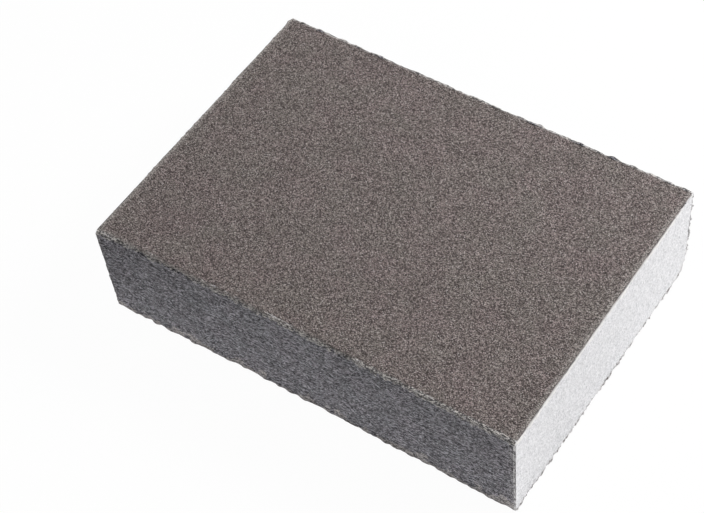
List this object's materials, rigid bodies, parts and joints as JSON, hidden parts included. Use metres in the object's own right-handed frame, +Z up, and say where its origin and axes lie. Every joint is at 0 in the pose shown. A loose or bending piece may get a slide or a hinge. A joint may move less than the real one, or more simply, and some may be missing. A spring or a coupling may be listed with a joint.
{
  "type": "sanding sponge",
  "caption": "Rectangular foam sanding block with grit bonded to both faces and both long sides, its short ends bare foam.",
  "frame": {"origin": "middle of the lower face, on the surface that the sponge lies on", "axes": "+X along the length towards one bare end, +Y along the width towards the rear side, +Z up through the thickness"},
  "size_m": [0.099, 0.07, 0.025],
  "materials": {
    "foam": "matt, fine open cells",
    "face_grit": "rough brown-grey grit in resin",
    "side_grit": "rough slate-grey grit in resin"
  },
  "bodies": {
    "root": {"foam_block": "foam", "top_coat": "face_grit", "bottom_coat": "face_grit", "front_edge_coat": "side_grit", "rear_edge_coat": "side_grit"}
  },
  "joints": []
}
